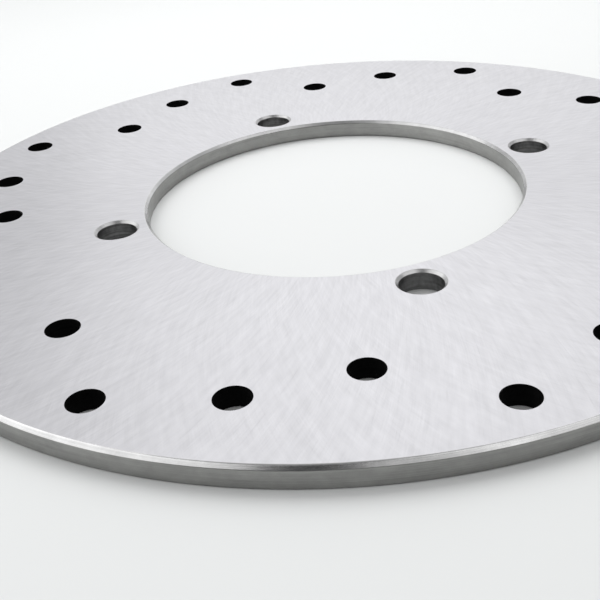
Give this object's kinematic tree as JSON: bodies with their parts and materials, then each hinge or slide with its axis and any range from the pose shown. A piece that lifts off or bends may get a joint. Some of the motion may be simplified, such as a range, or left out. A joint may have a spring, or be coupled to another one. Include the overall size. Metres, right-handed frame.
{
  "type": "brake disc rotor",
  "caption": "Solid one-piece ground steel brake disc ring with a plain hub bore, chamfered bolt holes and drilled holes stepping across the pad band.",
  "frame": {"origin": "centre of the hub-side face, on the axis the rotor turns about", "axes": "+Z along the rotor's axis, away from the hub; +X through a bolt hole"},
  "size_m": [0.24, 0.24, 0.005],
  "materials": {
    "disc_steel": "ground both faces, turned rim and bore"
  },
  "bodies": {
    "root": {"brake_disc": "disc_steel"}
  },
  "joints": []
}
